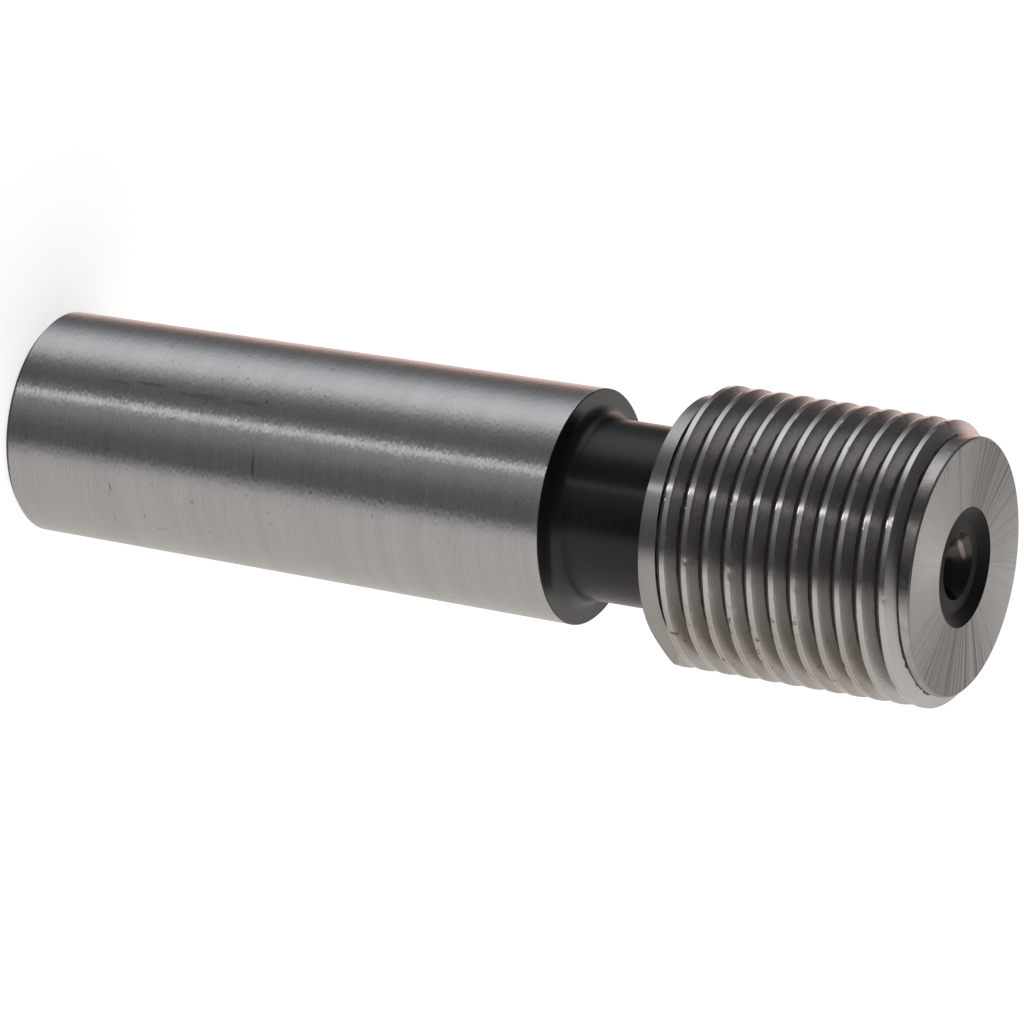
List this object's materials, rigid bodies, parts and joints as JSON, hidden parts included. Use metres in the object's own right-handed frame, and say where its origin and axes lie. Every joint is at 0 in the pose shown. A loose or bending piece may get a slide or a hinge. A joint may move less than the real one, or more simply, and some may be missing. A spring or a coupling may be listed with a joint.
{
  "type": "thread plug gauge",
  "caption": "Solid steel thread plug gauge: tapered ground shank, blackened turned-down neck, threaded gauging end with a protected centre hole in its face",
  "frame": {"origin": "centre of the shank's end face, on which the gauge stands", "axes": "+Z along the gauge's axis from the shank's end to the threaded end, +X through the place where the thread's ridge starts at the neck's side"},
  "size_m": [0.024, 0.024, 0.0865],
  "materials": {
    "ground_steel": "ground tool steel with fine marks round the shank, crests and end face; neck, shoulder and centre hole blackened; light stains in the thread"
  },
  "bodies": {
    "root": {"gauge": "ground_steel"}
  },
  "joints": []
}
